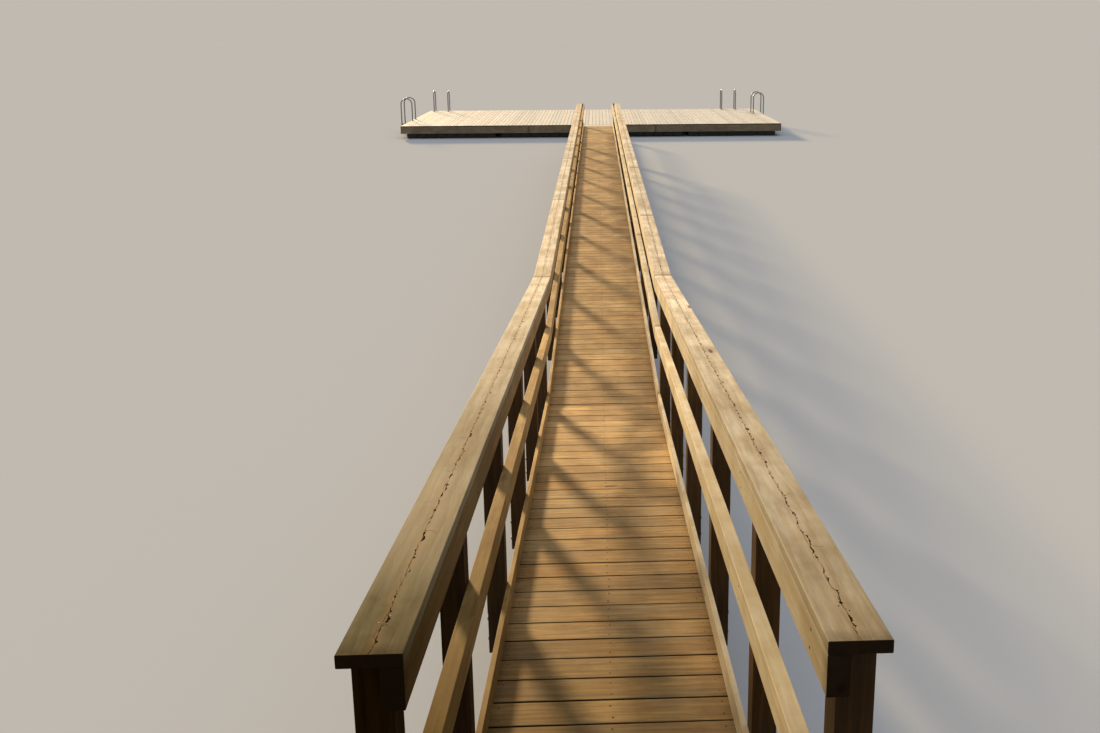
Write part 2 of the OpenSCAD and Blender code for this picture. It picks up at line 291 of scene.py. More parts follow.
def wood(name, pale, deep, axis="board", knots=0.5, checks=0.0, age=0.3, stain=0.5, rough=0.66, vary=0.85):
    """Pine: pale and deep are the early and late wood, which the eye sees as streaks along the grain.

    Knots, checks, age, stain and vary, the difference from board to board, go from 0 to 1. The grain
    comes from the mesh of a board, or runs along an axis."""
    material, node = new_material(name)
    in_place = node("TexCoord").node.outputs["Object"]
    place_on = node("SeparateXYZ", Vector=in_place).node.outputs
    if axis == "board":
        grain = node("Attribute", {"attribute_name": "grain"}).node.outputs["Vector"]
    else:
        a, b, c = {"x": "XYZ", "y": "YXZ", "z": "ZXY"}[axis]
        grain = node("CombineXYZ", X=place_on[a], Y=place_on[b], Z=place_on[c])
    near_knot, core = knot_marks(node, grain, knots)
    late, fibres = growth_figure(node, grain, near_knot)
    colour = node("ValToRGB", Fac=late, stops=((0.32, pale), (0.80, deep)))
    fibre_tone = node("ValToRGB", Fac=fibres, stops=((0.3, 0.25), (0.7, 0.8)))
    colour = node("Mix", SOFT, i0=0.30, i6=colour, i7=fibre_tone)

    # Each board's own tint, grey weather in smudges of 385 by 62 mm, and brown knots with dark cores.
    tint = node("Attribute", {"attribute_name": "tint"}).node.outputs["Fac"]
    own = node("ValToRGB", Fac=tint,
               stops=((0.0, "#B39B7B"), (0.35, "#D9CDB8"), (0.7, "#FFF6E4"), (1.0, "#FFE7BD")))
    colour = node("Mix", TINT, i0=vary, i6=colour, i7=own)
    smudges = node("TexNoise", Vector=node("Mapping", Vector=grain, Scale=per_metre(385, 62, 62)),
                   Scale=1.0, Detail=6.0, Roughness=0.68)
    smudges = node("ValToRGB", Fac=smudges, stops=((0.45, 0.0), (0.68, 1.0)))
    grey = node("Math", TIMES, i0=smudges, i1=age)
    colour = node("Mix", MIX, i0=grey, i6=colour, i7=linear("#8F8672"))
    colour = node("Mix", MIX, i0=node("Math", TIMES, i0=near_knot, i1=0.35), i6=colour, i7=linear("#8A5E33"))
    colour = node("Mix", MIX, i0=node("Math", TIMES, i0=core, i1=0.85), i6=colour, i7=linear("#4A2E18"))

    # Brown damp stains in soft clouds about 0.3 m across, as wide as two boards, and painted shade of trees,
    # an olive darkening over the ramp.
    stains = node("TexNoise", Vector=in_place, Scale=per_metre(312), Detail=4.0, Roughness=0.6)
    stains = node("ValToRGB", Fac=stains, stops=((0.40, 1.0), (0.62, 0.0)))
    stains = node("Math", TIMES, i0=stains, i1=stain)
    colour = node("Mix", TINT, i0=stains, i6=colour, i7=linear("#B5A68C"))
    tree_shade = painted_tree_shade(node, in_place, place_on)
    colour = node("Mix", TINT, i0=tree_shade, i6=colour, i7=linear("#7A7766"))

    # Dirt and painted shade on sides and ends, dirt round a checked board's pith, and end grain painted near
    # black as shade, without shine.
    rim = node("Attribute", {"attribute_name": "rim"}).node.outputs["Fac"]
    dirt = node("TexNoise", Vector=grain, Scale=per_metre(33), Detail=4.0, Roughness=0.6)
    dirt = node("ValToRGB", Fac=dirt, stops=((0.25, 0.35), (0.7, 1.0)))
    if checks:
        middle = node("Attribute", {"attribute_name": "middle"}).node.outputs["Fac"]
        pith = node("Math", TIMES, i0=node("Math", UNSIGNED, i0=middle), i1=per_metre(20))
        pith = node("Math", TIMES, i0=node("ValToRGB", Fac=pith, stops=((0.1, 1.0), (1.0, 0.0))), i1=dirt)
        pith = node("Math", TIMES, i0=pith, i1=0.3 * checks)
        colour = node("Mix", MIX, i0=pith, i6=colour, i7=linear("#8F6F44"))
    dirt_and_shade = node("Math", TIMES, i0=node("Math", TIMES, i0=rim, i1=dirt), i1=0.8)
    colour = node("Mix", MIX, i0=dirt_and_shade, i6=colour, i7=linear("#2E2418"))
    # End grain painted near black: painted shade on the boards' ends, darker than the end grain itself.
    end_grain_and_shade = node("ValToRGB", Fac=rim, stops=((0.90, 0.0), (0.98, 0.95)))
    colour = node("Mix", MIX, i0=end_grain_and_shade, i6=colour, i7=linear("#1A1108"))
    gloss = node("ValToRGB", Fac=rim, stops=((0.88, 0.25), (0.98, 0.03)))
    # The painted tree shade takes off the shine too, as where no sun falls.
    gloss = node("Math", TIMES, i0=gloss, i1=node("Math", MINUS, i0=1.0, i1=tree_shade))
    height = node("Math", PLUS, i0=node("Math", TIMES, i0=late, i1=0.5),
                  i1=node("Math", TIMES, i0=fibres, i1=0.35))
    if checks:
        crack = node("Math", TIMES, i0=drying_checks(node, grain, middle), i1=checks)
        colour = node("Mix", MIX, i0=crack, i6=colour, i7=linear("#1C1209"))
        gloss = node("Math", TIMES, i0=gloss, i1=node("Math", MINUS, i0=1.0, i1=crack))
        height = node("Math", MINUS, i0=height, i1=node("Math", TIMES, i0=crack, i1=3.0))

    bump = node("Bump", Strength=0.35, Distance=0.0015, Height=height)
    shine = node("Math", MINUS, i0=rough, i1=node("Math", TIMES, i0=late, i1=0.12))
    node("OutputMaterial", Surface=node("BsdfPrincipled", Base_Color=colour, Roughness=shine, Normal=bump,
                                        Specular_IOR_Level=gloss))
    return material


# Pine left as sawn: dull brown, with much grey weather over its streaks.
FRAME_X = wood("sawn_frame_across", "#8F7A55", "#665437", axis="x", age=0.5)
FRAME_Y = wood("sawn_frame_along", "#8F7A55", "#665437", axis="y", age=0.5)
FRAME_Z = wood("sawn_frame_upright", "#7F6C4B", "#584A32", axis="z", age=0.5)


def repaint(material, *parts):
    """Gives CAD nodes that stay their finished material."""
    for part in parts:
        data = nodes[part].data
        data.materials.clear()
        data.materials.append(material)


repaint(FRAME_Z, "piles", "shore_legs")
repaint(FRAME_X, "crossheads")
repaint(FRAME_Y, "ramp_stringers", "walkway_stringers_near", "walkway_stringers_far", "gangway_stringers")


# Deck: planed pine boards laid across at 149 mm with open gaps, screwed to the stringers, and a narrow
# strip where the ramp meets the level. The last stretch before the platform is as pale as the platform.
ROOT = "root"           # the one body, on which everything rides
X, Y, Z = Vector((1, 0, 0)), Vector((0, 1, 0)), Vector((0, 0, 1))
BOARD_PITCH = 0.149
BOARD_GAP = 0.008
STRIP = 0.034           # the narrow strip with its gap
STRIP_SUNK = 0.002
OFF_SQUARE = 0.0012     # how far each end of a board may lie off its place
CUT_SHORT = 0.003       # how much may be missing at each end
UNEVEN = 0.0012         # how much lower than the rest a board may lie
ROUNDED = 0.3           # how far in an arris's middle point lies, as a share of the arris
END_ARRIS = 0.7         # the arris at a board's end, as a share of the one along its side
END_BAND = 0.0015       # width of the darkest band behind it
END_DIRT_AND_SHADE = 0.05         # how far dirt and painted shade creep in from a board's end
ramp_low, ramp_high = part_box("ramp_deck")
level_low, level_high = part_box("walkway_deck_near")
plate_low, plate_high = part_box("transition_plate")
DECK_Z = level_high.z
DECK_T = level_high.z - level_low.z
HALF = level_high.x
RAMP_L = -ramp_low.y
SLOPE = (ramp_high.z - DECK_Z) / RAMP_L
SLOPE_ANGLE = math.atan(SLOPE)
ALONG_RAMP = Vector((0, math.cos(SLOPE_ANGLE), -math.sin(SLOPE_ANGLE)))
UP_RAMP = Vector((0, math.sin(SLOPE_ANGLE), math.cos(SLOPE_ANGLE)))
laid = []               # top middle, along, up and pitch of each board across, for its screws

# Planed deck pine, weathered: warm tan with grey smudges, many knots and damp stains.
DECK = wood("deck_pine", "#DEC08A", "#A27F4C", knots=0.8, age=0.5, stain=0.6, vary=0.5)
# Planed pine that the sun has bleached: nearly white, with little of its figure left.
PALE_DECK = wood("bleached_pine", "#E8E9E8", "#CFCCC2", knots=0.3, age=0.08, stain=0.15, vary=0.3)


def deck_z(y):
    """The height of the deck's top, which slopes on the ramp and is level from the kink on."""
    return DECK_Z - min(y, 0) * SLOPE


def put(piece, slot, *replaced):
    """Links a piece, rides it on the jetty and hides the CAD nodes that it stands for."""
    bpy.context.collection.objects.link(piece)
    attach(piece, ROOT)
    if replaced:
        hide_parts(*replaced)
    return piece


class Boards:
    """Gathers boards with eased arrises into one mesh, with the attributes that the wood reads."""

    def __init__(self, name, material, slot, seed, eased=0.003, side_dirt_and_shade=0.1):
        self.name, self.material, self.slot = name, material, slot
        self.eased, self.side_dirt_and_shade = eased, side_dirt_and_shade
        self.random = random.Random(seed)
        self.points, self.faces = [], []
        self.grain, self.tint, self.rim, self.middle = [], [], [], []

    def board(self, start, end, across, up, width, thick, lean_across=0.0, lean_up=0.0, lift=0.0):
        """A board from start to end, the middles of its end faces. across and up are unit vectors.

        The leans shear both ends along the board, for plumb cuts on a slope."""
        along = (end - start).normalized()
        length = (end - start).length
        e = self.eased
        w, t = width / 2, thick / 2
        ring = []
        for sx, sz in ((1, -1), (1, 1), (-1, 1), (-1, -1)):
            between = (sx * (w - e * ROUNDED), sz * (t - e * ROUNDED))
            corner = [(sx * w, sz * (t - e)), between, (sx * (w - e), sz * t)]
            ring += corner if sx * sz > 0 else corner[::-1]
        n = len(ring)
        seed = Vector((self.random.uniform(0, 90), self.random.uniform(0, 90), self.random.uniform(0, 90)))
        tint = min(1.0, max(0.0, self.random.gauss(0.5, 0.27)))
        base = len(self.points)
        ease = e * END_ARRIS
        near = ((0.0, ease, 1.0), (ease, 0.0, 1.0), (ease + END_BAND, 0.0, 0.8), (END_DIRT_AND_SHADE, 0.0, 0.0))
        stations = near + tuple((length - s, inset, dirt) for s, inset, dirt in reversed(near))
        for s, inset, dirt in stations:
            for a, b in ring:
                a2 = a - math.copysign(min(inset, abs(a)), a)
                b2 = b - math.copysign(min(inset, abs(b)), b)
                cut = a2 * lean_across + b2 * lean_up
                self.points.append(start + along * (s + cut) + across * a2 + up * (b2 + lift))
                self.grain.append((seed.x + s, seed.y + a2, seed.z + b2))
                self.tint.append(tint)
                # Ends, and sides where asked, carry dirt and painted shade, which the wood paints dark
                # brown.
                self.rim.append(max(dirt, self.side_dirt_and_shade if abs(a) == w else 0.0))
                self.middle.append(a2)
        for r in range(len(stations) - 1):
            row, next_row = base + r * n, base + (r + 1) * n
            for i in range(n):
                j = (i + 1) % n
                self.faces.append((row + i, row + j, next_row + j, next_row + i))
        last = base + (len(stations) - 1) * n
        self.faces.append(tuple(range(base + n - 1, base - 1, -1)))
        self.faces.append(tuple(range(last, last + n)))

    def make(self, *replaced):
        mesh = bpy.data.meshes.new(self.name)
        mesh.from_pydata(self.points, [], self.faces)
        vector = mesh.attributes.new("grain", "FLOAT_VECTOR", "POINT")
        vector.data.foreach_set("vector", [c for v in self.grain for c in v])
        for name, values in (("tint", self.tint), ("rim", self.rim), ("middle", self.middle)):
            mesh.attributes.new(name, "FLOAT", "POINT").data.foreach_set("value", values)
        mesh.materials.append(self.material)
        mesh.shade_flat()
        return put(bpy.data.objects.new(self.name, mesh), self.slot, *replaced)


def cross_boards(name, y0, y1, seed, material, replaced):
    """Boards laid across the walkway from y0 to y1, level or on the ramp."""
    # The sides of deck boards, down in the gaps, get dirt and painted shade.
    boards = Boards(name, material, "deck_boards", seed, eased=0.0025, side_dirt_and_shade=1.0)
    along, up = (ALONG_RAMP, UP_RAMP) if y0 < 0 else (Y, Z)
    foot = Vector((0, y0, deck_z(y0)))
    run = (y1 - y0) / along.y
    if y0 == 0:
        at = foot + along * (STRIP / 2) - up * (DECK_T / 2)
        boards.board(at - X * HALF, at + X * HALF, along, up, STRIP - BOARD_GAP, DECK_T, lift=-STRIP_SUNK)
        foot, run = foot + along * STRIP, run - STRIP
    count = round(run / BOARD_PITCH)
    pitch = run / count
    for i in range(count):
        r = boards.random
        middle = foot + along * ((i + 0.5) * pitch) - up * (DECK_T / 2)
        skew = along * r.uniform(-OFF_SQUARE, OFF_SQUARE)
        start = middle - X * (HALF - r.uniform(0.0, CUT_SHORT)) + skew
        end = middle + X * (HALF - r.uniform(0.0, CUT_SHORT)) - skew
        boards.board(start, end, along, up, pitch - BOARD_GAP, DECK_T, lift=r.uniform(-UNEVEN, 0.0))
        laid.append((middle + up * (DECK_T / 2), along, up, pitch))
    return boards.make(replaced)


cross_boards("ramp_boards", -RAMP_L, 0, 11, DECK, "ramp_deck")
for i, part in enumerate(("walkway_deck_near", "walkway_deck_far", "gangway_deck")):
    low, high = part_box(part)
    cross_boards(part + "_boards", max(low.y, 0.0), high.y, 21 + i, DECK, part)
cross_boards("transition_boards", plate_low.y, plate_high.y, 31, PALE_DECK, "transition_plate")


# Posts: square planed pine, bolted to the outsides of the stringers, one to a bay, and low ones at the
# gangway's ends. They stand upright on the slope too, stay in the shade of the caps, and are painted dark
# with shade.
RAMP_BAYS = 5
LEVEL_BAYS = 10
cap_low, cap_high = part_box("walkway_cap_right")
posts_low, posts_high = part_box("walkway_posts_right")
ramp_posts_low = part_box("ramp_posts_right")[0]
low_posts_low, low_posts_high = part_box("gangway_posts")
LEVEL_L = cap_high.y
LEVEL_BAY = LEVEL_L / LEVEL_BAYS
RAMP_BAY = RAMP_L / RAMP_BAYS
LOW_END = plate_low.y
POST_W = posts_high.x - posts_low.x

# Planed post pine, painted dark as shade: deep brown, with weak figure and hardly any grey.
POST_PAINTED_SHADE = wood("post_pine_painted_shade", "#63471B", "#38270E", knots=0.4, age=0.05)


def post_places():
    """(y, foot height, head height) of every full post on one side."""
    half = POST_W / 2
    first = ramp_posts_low.y + half
    places = []
    for i in range(RAMP_BAYS):
        y = first if i == 0 else -RAMP_L + i * RAMP_BAY
        places.append((y, deck_z(y) + posts_low.z - DECK_Z, deck_z(y + half) + posts_high.z - DECK_Z))
    for i in range(LEVEL_BAYS + 1):
        y = i * LEVEL_BAY + (half if i == 0 else -half if i == LEVEL_BAYS else 0)
        places.append((y, posts_low.z, posts_high.z))
    return places


def low_post_places():
    """The same for the gangway's low posts."""
    half = POST_W / 2
    return [(y, low_posts_low.z, low_posts_high.z) for y in (LEVEL_L + half, LOW_END - half)]


def make_posts():
    x = (posts_low.x + posts_high.x) / 2
    low_posts = Boards("low_posts", POST_PAINTED_SHADE, "post_timber", 65)
    for side, word in ((1, "right"), (-1, "left")):
        posts = Boards("posts_" + word, POST_PAINTED_SHADE, "post_timber", 61 + side)
        for group, places in ((posts, post_places()), (low_posts, low_post_places())):
            for y, foot, head in places:
                group.board(Vector((side * x, y, foot)), Vector((side * x, y, head)), X, Y, POST_W, POST_W)
        posts.make("ramp_posts_" + word, "walkway_posts_" + word)
    low_posts.make("gangway_posts")


make_posts()


# Rails: a kick rail on the deck, a mid rail and a top rail screwed to the posts, and a flat cap over
# posts and top rail. All are planed pine and end plumb on the slope. Their lengths meet on posts, but
# for the caps on the right.
JOINT = 0.0012          # half the gap where two lengths meet
SHORTEST = 0.6          # no shorter length is left over
CAP_BAYS = 2            # how many bays a full length of each spans
TOP_BAYS = 3
MID_BAYS = 2
KICK_BAYS = 2
RIGHT_FIRST_CAP = 2.42  # the right side's first cap on the level is a shorter length
KICK_T = 0.023
kick_low, kick_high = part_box("walkway_kick_rails")
CAP_PART = (cap_low, cap_high)
TOP_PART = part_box("walkway_top_rail_right")
MID_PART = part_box("walkway_mid_rail_right")
KICK_PART = (Vector((kick_high.x - KICK_T, 0, kick_low.z)), kick_high)

# Planed cap pine: pale, with clear grain and knots, split along the pith by drying.
CAP = wood("cap_pine", "#FCF6E8", "#D8CAAC", knots=0.8, checks=1.0, age=0.4, stain=0.6, vary=0.35)
# Planed rail pine in two copies: the right side's is painted cream as painted light from the low sun, and
# the left side's tan as painted shade.
RAIL_PAINTED_LIGHT_AND_SHADE = {"right": wood("rail_pine_painted_light", "#FFFBEA", "#EED7A2", knots=0.7, age=0.08, stain=0.5, vary=0.2),
        "left": wood("rail_pine_painted_shade", "#DDC188", "#B08A50", knots=0.7, age=0.15, stain=0.6, vary=0.5)}


def rail_run(boards, side, part, cuts, flat=False):
    """The lengths of one rail or cap between the cuts. part is its low and high corner on the level."""
    low, high = part
    x, wide = side * (low.x + high.x) / 2, high.x - low.x
    z, tall = (low.z + high.z) / 2 - DECK_Z, high.z - low.z
    for a, b in zip(cuts, cuts[1:]):
        a2 = a + (JOINT if a != cuts[0] else 0.0)
        b2 = b - (JOINT if b != cuts[-1] else 0.0)
        start = Vector((x, a2, deck_z(a2) + z))
        end = Vector((x, b2, deck_z(b2) + z))
        up = UP_RAMP if a < 0 else Z
        thick = tall * up.z
        plumb = -up.y / up.z
        if flat:
            boards.board(start, end, X, up, wide, thick, lean_up=plumb)
        else:
            boards.board(start, end, up, X, thick, wide, lean_across=plumb)


def level_cuts(first, step):
    """Where a run on the level is cut: after the first length, then at equal steps, and at its end."""
    cuts = [0.0]
    y = first
    while y < LEVEL_L - SHORTEST:
        cuts.append(y)
        y += step
    return cuts + [LEVEL_L]


def make_rails():
    for side, word in ((1, "right"), (-1, "left")):
        length = CAP_BAYS * LEVEL_BAY
        first_cap = RIGHT_FIRST_CAP if side > 0 else length
        caps = Boards("caps_" + word, CAP, "cap_boards", 41 + side, eased=0.002)
        rail_run(caps, side, CAP_PART, [-RAMP_L] + level_cuts(first_cap, length), flat=True)
        caps.make("ramp_cap_" + word, "walkway_cap_" + word)
        for kind, part, bays in (("top_rail", TOP_PART, TOP_BAYS), ("mid_rail", MID_PART, MID_BAYS)):
            length = bays * LEVEL_BAY
            run = Boards(kind + "s_" + word, RAIL_PAINTED_LIGHT_AND_SHADE[word], "rail_boards", 50 + bays + side, eased=0.002)
            rail_run(run, side, part, [-RAMP_L] + level_cuts(length, length))
            run.make("ramp_%s_%s" % (kind, word), "walkway_%s_%s" % (kind, word))
        length = KICK_BAYS * LEVEL_BAY
        kicks = Boards("kick_rails_" + word, RAIL_PAINTED_LIGHT_AND_SHADE[word], "rail_boards", 59 + side, eased=0.0018)
        rail_run(kicks, side, KICK_PART, [-RAMP_L] + level_cuts(length, length) + [LOW_END])
        kicks.make("ramp_kick_rails", "walkway_kick_rails", "gangway_kick_rails")
        low_rails = Boards("gangway_rails_" + word, RAIL_PAINTED_LIGHT_AND_SHADE[word], "rail_boards", 56 + side, eased=0.0018)
        rail_run(low_rails, side, MID_PART, [LEVEL_L, LOW_END])
        low_rails.make("gangway_mid_rails")


make_rails()


# Floats: hollow black polyethylene pontoons, blow-moulded with upright ribs, strapped under the joists
# in two rows of four and set back from the platform's edge.
FLOAT_COLUMNS = 4
FLOAT_ROWS = 2
FLOAT_GAP = 0.18
RIB = 0.30              # from rib to rib
GROOVE = 0.018          # depth of the groove between two ribs
GROOVE_HALF = 0.03      # half its width at the face, and at its floor
GROOVE_FLOOR = 0.018
SIDE_ROUND = 0.02       # how far the upright edges are cut back
LOWER_ROUND = 0.03      # and the lower and upper ones
UPPER_ROUND = 0.02


def plastic(name, colour):
    """Moulded polyethylene: matt black, scuffed pale in marks of 170 by 25 mm and slimy low down."""
    material, node = new_material(name)
    in_place = node("TexCoord").node.outputs["Object"]
    scuffs = node("TexNoise", Vector=node("Mapping", Vector=in_place, Scale=per_metre(167, 25, 25)),
                  Scale=1.0, Detail=6.0, Roughness=0.7)
    base = node("Mix", MIX, i0=node("ValToRGB", Fac=scuffs, stops=((0.5, 0.0), (0.8, 0.5))),
                i6=linear(colour), i7=linear("#4B4C49"))
    low = node("Math", TIMES, i0=node("SeparateXYZ", Vector=in_place).node.outputs["Z"], i1=per_metre(100))
    slime = node("Math", TIMES, i0=node("ValToRGB", Fac=low, stops=((0.2, 1.0), (0.9, 0.0))), i1=scuffs)
    base = node("Mix", MIX, i0=slime, i6=base, i7=linear("#3A3F28"))
    bump = node("Bump", Strength=0.3, Distance=0.002, Height=scuffs)
    node("OutputMaterial", Surface=node("BsdfPrincipled", Base_Color=base, Roughness=0.55, Normal=bump))
    return material


def pontoon_outline(x0, y0, width, depth):
    """The float's outline seen from above, anticlockwise, with upright grooves between ribs."""
    groove = ((-GROOVE_HALF, 0.0), (-GROOVE_FLOOR, GROOVE), (GROOVE_FLOOR, GROOVE), (GROOVE_HALF, 0.0))
    outline = []
    corners = [(x0, y0, X, width, Y), (x0 + width, y0, Y, depth, -X),
               (x0 + width, y0 + depth, -X, width, -Y), (x0, y0 + depth, -Y, depth, X)]
    for cx, cy, run, length, inward in corners:
        corner = Vector((cx, cy, 0))
        count = max(1, int(length / RIB))
        step = length / count
        outline.append(corner + run * SIDE_ROUND)
        for k in range(1, count):
            for off, deep in groove:
                outline.append(corner + run * (k * step + off) + inward * deep)
        outline.append(corner + run * (length - SIDE_ROUND))
    return [(p.x, p.y) for p in outline]


def make_floats():
    low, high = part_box("floats")
    width = (high.x - low.x - (FLOAT_COLUMNS - 1) * FLOAT_GAP) / FLOAT_COLUMNS
    depth = (high.y - low.y - (FLOAT_ROWS - 1) * FLOAT_GAP) / FLOAT_ROWS
    levels = ((low.z, LOWER_ROUND), (low.z + LOWER_ROUND, 0.0), (high.z - UPPER_ROUND, 0.0),
              (high.z, UPPER_ROUND))
    points, faces = [], []
    for i in range(FLOAT_COLUMNS):
        for j in range(FLOAT_ROWS):
            x0, y0 = low.x + i * (width + FLOAT_GAP), low.y + j * (depth + FLOAT_GAP)
            outline = pontoon_outline(x0, y0, width, depth)
            n = len(outline)
            base = len(points)
            for z, inset in levels:
                for x, y in outline:
                    points.append((x - math.copysign(inset, x - x0 - width / 2),
                                   y - math.copysign(inset, y - y0 - depth / 2), z))
            for k in range(len(levels) - 1):
                row, next_row = base + k * n, base + (k + 1) * n
                for a in range(n):
                    b = (a + 1) % n
                    faces.append((row + a, row + b, next_row + b, next_row + a))
            top = base + (len(levels) - 1) * n
            faces.append(tuple(range(base + n - 1, base - 1, -1)))
            faces.append(tuple(range(top, top + n)))
    mesh = bpy.data.meshes.new("pontoons")
    mesh.from_pydata(points, [], faces)
    mesh.materials.append(plastic("black_polyethylene", "#141518"))
    put(bpy.data.objects.new("pontoons", mesh), "float_plastic", "floats")


make_floats()


# Platform: planed pine boards laid lengthwise over joists, bleached nearly white, with an edge board at
# each end and deep fascias all round, dark with damp.
PLATFORM_PITCH = 0.12
PLATFORM_UNEVEN = 0.001
FASCIA_LENGTHS = 3
platform_low, platform_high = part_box("platform_deck")
PLATFORM_W = platform_high.x - platform_low.x
PLATFORM_BOARDS = round(PLATFORM_W / PLATFORM_PITCH)

# Damp fascia pine: grey brown, and a little glossier than the dry wood.
FASCIA = wood("damp_fascia", "#9A907C", "#665B48", knots=0.3, age=0.25, stain=0.4, rough=0.5, vary=0.5)


def make_platform():
    # The sides of platform boards, down in the gaps, get dirt and painted shade.
    boards = Boards("platform_boards", PALE_DECK, "platform_boards", 71, side_dirt_and_shade=1.0)
    pitch = PLATFORM_W / PLATFORM_BOARDS
    z = (platform_low.z + platform_high.z) / 2
    thick = platform_high.z - platform_low.z
    for i in range(PLATFORM_BOARDS):
        x = platform_low.x + (i + 0.5) * pitch
        start, end = Vector((x, platform_low.y, z)), Vector((x, platform_high.y, z))
        lift = boards.random.uniform(-PLATFORM_UNEVEN, 0.0)
        boards.board(start, end, X, Z, pitch - BOARD_GAP, thick, lift=lift)
    boards.make("platform_deck")

    edges = Boards("platform_edges", PALE_DECK, "platform_boards", 81)
    low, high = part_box("platform_edge_boards")
    edge_w = platform_low.x - low.x
    for x in (low.x + edge_w / 2, high.x - edge_w / 2):
        edges.board(Vector((x, low.y, z)), Vector((x, high.y, z)), X, Z, edge_w, thick)
    edges.make("platform_edge_boards")

    fascias = Boards("platform_fascia_boards", FASCIA, "dark_boards", 83)
    low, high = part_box("platform_fascias_long")
    side_low, side_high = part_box("platform_fascias_short")
    thick_f = side_low.y - low.y
    zf, tall = (low.z + high.z) / 2, high.z - low.z
    step = (high.x - low.x) / FASCIA_LENGTHS
    for y in (low.y + thick_f / 2, high.y - thick_f / 2):
        for i in range(FASCIA_LENGTHS):
            a, b = low.x + i * step + JOINT, low.x + (i + 1) * step - JOINT
            fascias.board(Vector((a, y, zf)), Vector((b, y, zf)), Z, Y, tall, thick_f)
    for x in (side_low.x + thick_f / 2, side_high.x - thick_f / 2):
        fascias.board(Vector((x, side_low.y, zf)), Vector((x, side_high.y, zf)), Z, X, tall, thick_f)
    fascias.make("platform_fascias_long", "platform_fascias_short")


make_platform()
repaint(FRAME_X, "platform_joists")


# Ladders: each is two hoops of brushed stainless tube with round treads between their outer legs. A
# hoop's inner leg stands on the deck on a screwed flange, and its outer leg goes down past the edge.
TUBE_R = 0.020
FLANGE_R = 0.055
FLANGE_T = 0.008
FLANGE_EDGE = 0.002     # how far the flange's upper edge is cut back
BEAD = 0.007            # size of the weld between tube and flange
BEAD_TOE = 0.0005       # how far it stands off the tube where it ends
FLANGE_SCREWS = 4
FLANGE_SCREW_AT = 0.041  # how far they sit from the tube's middle
FLANGE_SCREW_R = 0.006
FLANGE_SCREW_H = 0.003
FLANGE_SCREW_SUNK = 0.0005
ARCH_STEPS = 16
SHARP_FROM = 35         # degrees from which an edge shows sharp


def metal(name, colour, rough, brushed=0.0, rust=0.0):
    """Metal with a mottle of 4 mm in its tone and gloss, and rust in spots of about 20 mm."""
    material, node = new_material(name)
    in_place = node("TexCoord").node.outputs["Object"]
    mottle = node("TexNoise", Vector=in_place, Scale=per_metre(4.17), Detail=4.0, Roughness=0.6)
    tone = node("ValToRGB", Fac=mottle, stops=((0.3, 0.72), (0.7, 1.0)))
    base = node("Mix", TINT, i0=1.0, i6=tone, i7=linear(colour))
    spots = node("TexNoise", Vector=in_place, Scale=per_metre(22.2), Detail=5.0, Roughness=0.7)
    spots = node("ValToRGB", Fac=spots, stops=((0.55, 0.0), (0.66, 1.0)))
    base = node("Mix", MIX, i0=node("Math", TIMES, i0=spots, i1=rust), i6=base, i7=linear("#5A3A22"))
    roughness = node("Math", PLUS, i0=node("Math", TIMES, i0=mottle, i1=0.2 + brushed), i1=rough)
    bump = node("Bump", Strength=0.12, Distance=0.0006, Height=mottle)
    node("OutputMaterial", Surface=node("BsdfPrincipled", Base_Color=base, Metallic=1.0, Roughness=roughness,
                                        Normal=bump))
    return material


# Stainless steel, brushed: grey, with soft highlights that vary along the tube.
STEEL = metal("brushed_stainless", "#8E9193", 0.26, brushed=0.1)
# Steel dipped in zinc: dull warm grey, with some rust coming through.
BOLT = metal("galvanised_steel", "#7E7C75", 0.42, rust=0.35)


class Heads:
    """Gathers domed screw or bolt heads into one mesh."""

    def __init__(self, name, material, slot):
        self.name, self.material, self.slot = name, material, slot
        self.points, self.faces = [], []

    def head(self, at, normal, radius, height, sides=10, washer=0.0):
        """A head that rises along the normal, on a washer of that radius if it has one."""
        turn = normal.to_track_quat("Z", "Y")
        rows = [(radius, 0.0), (radius, height * 0.45), (radius * 0.72, height)]
        if washer:
            rows = [(washer, 0.0), (washer, height * 0.25), (radius, height * 0.25)] + rows[1:]
        base = len(self.points)
        for r, h in rows:
            for i in range(sides):
                a = 2 * math.pi * i / sides
                self.points.append(at + turn @ Vector((r * math.cos(a), r * math.sin(a), h)))
        for k in range(len(rows) - 1):
            row, next_row = base + k * sides, base + (k + 1) * sides
            for i in range(sides):
                j = (i + 1) % sides
                self.faces.append((row + i, row + j, next_row + j, next_row + i))
        top = base + (len(rows) - 1) * sides
        self.faces.append(tuple(range(top, top + sides)))
        self.faces.append(tuple(range(base + sides - 1, base - 1, -1)))

    def make(self):
        mesh = bpy.data.meshes.new(self.name)
        mesh.from_pydata(self.points, [], self.faces)
        mesh.materials.append(self.material)
        return put(bpy.data.objects.new(self.name, mesh), self.slot)


def sweep(points, faces, path, radii, across, sides=20):
    """A closed round solid along a path in one plane; across is the plane's normal."""
    base = len(points)
    for k, at in enumerate(path):
        along = (path[min(k + 1, len(path) - 1)] - path[max(k - 1, 0)]).normalized()
        out = across.cross(along)
        for i in range(sides):
            a = 2 * math.pi * i / sides
            points.append(at + (across * math.cos(a) + out * math.sin(a)) * radii[k])
    for k in range(len(path) - 1):
        row, next_row = base + k * sides, base + (k + 1) * sides
        for i in range(sides):
            j = (i + 1) % sides
            faces.append((row + i, next_row + i, next_row + j, row + j))
    last = base + (len(path) - 1) * sides
    faces.append(tuple(range(base, base + sides)))
    faces.append(tuple(range(last + sides - 1, last - 1, -1)))


